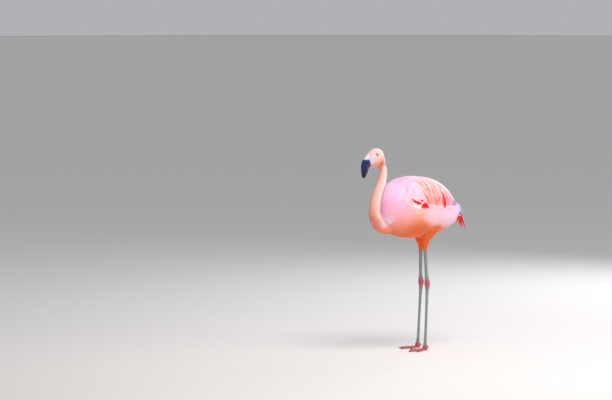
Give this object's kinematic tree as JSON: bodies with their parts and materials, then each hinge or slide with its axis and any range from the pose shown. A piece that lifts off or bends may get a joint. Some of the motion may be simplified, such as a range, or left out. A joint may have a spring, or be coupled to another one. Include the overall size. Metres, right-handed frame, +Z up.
{
  "type": "chilean flamingo",
  "caption": "Life-size still model of a Chilean flamingo at rest: pale pink body, neck drawn back in an S, bent black-tipped bill, long grey legs with pink joints and webbed feet.",
  "frame": {"origin": "middle of the bounding box, on the floor that both feet stand on", "axes": "+Z up, the bird faces -Y, its left side is +X"},
  "size_m": [0.193, 0.4982, 0.7558],
  "materials": {
    "body_feathers": "soft pale pink feathers",
    "neck_feathers": "short dense rose feathers",
    "head_feathers": "very short dense pale pink feathers",
    "tail_feathers": "soft whitish feathers",
    "wing_feathers": "layered pale pink feathers with crimson and orange streaks",
    "wing_tips": "black flight feathers, satin",
    "plumes": "loose crimson plumes",
    "thigh_feathers": "soft salmon feathers",
    "bill_upper": "horn, whitish at the base and black from the bend",
    "bill_lower": "horn, black with a pale base",
    "eyes": "wet gloss over a pale yellow iris",
    "legs": "grey-green scaled skin, satin",
    "ankles": "pink-red scaled skin, satin",
    "feet": "pink-red scaled skin and web, satin",
    "claws": "dark horn, satin"
  },
  "bodies": {
    "root": {"trunk": "body_feathers", "neck_base": "neck_feathers", "neck_lower": "neck_feathers", "neck_middle": "neck_feathers", "neck_upper": "neck_feathers", "tail": "tail_feathers", "head": "head_feathers", "bill_upper": "bill_upper", "bill_lower": "bill_lower", "eye_left": "eyes", "wing_left": "wing_feathers", "wing_tip_left": "wing_tips", "plumes_left": "plumes", "thigh_left": "thigh_feathers", "shin_left": "legs", "ankle_left": "ankles", "shank_left": "legs", "foot_left": "feet", "hind_toe_left": "feet", "claw_left_inner": "claws", "claw_left_middle": "claws", "claw_left_outer": "claws", "eye_right": "eyes", "wing_right": "wing_feathers", "wing_tip_right": "wing_tips", "plumes_right": "plumes", "thigh_right": "thigh_feathers", "shin_right": "legs", "ankle_right": "ankles", "shank_right": "legs", "foot_right": "feet", "hind_toe_right": "feet", "claw_right_inner": "claws", "claw_right_middle": "claws", "claw_right_outer": "claws"}
  },
  "joints": []
}
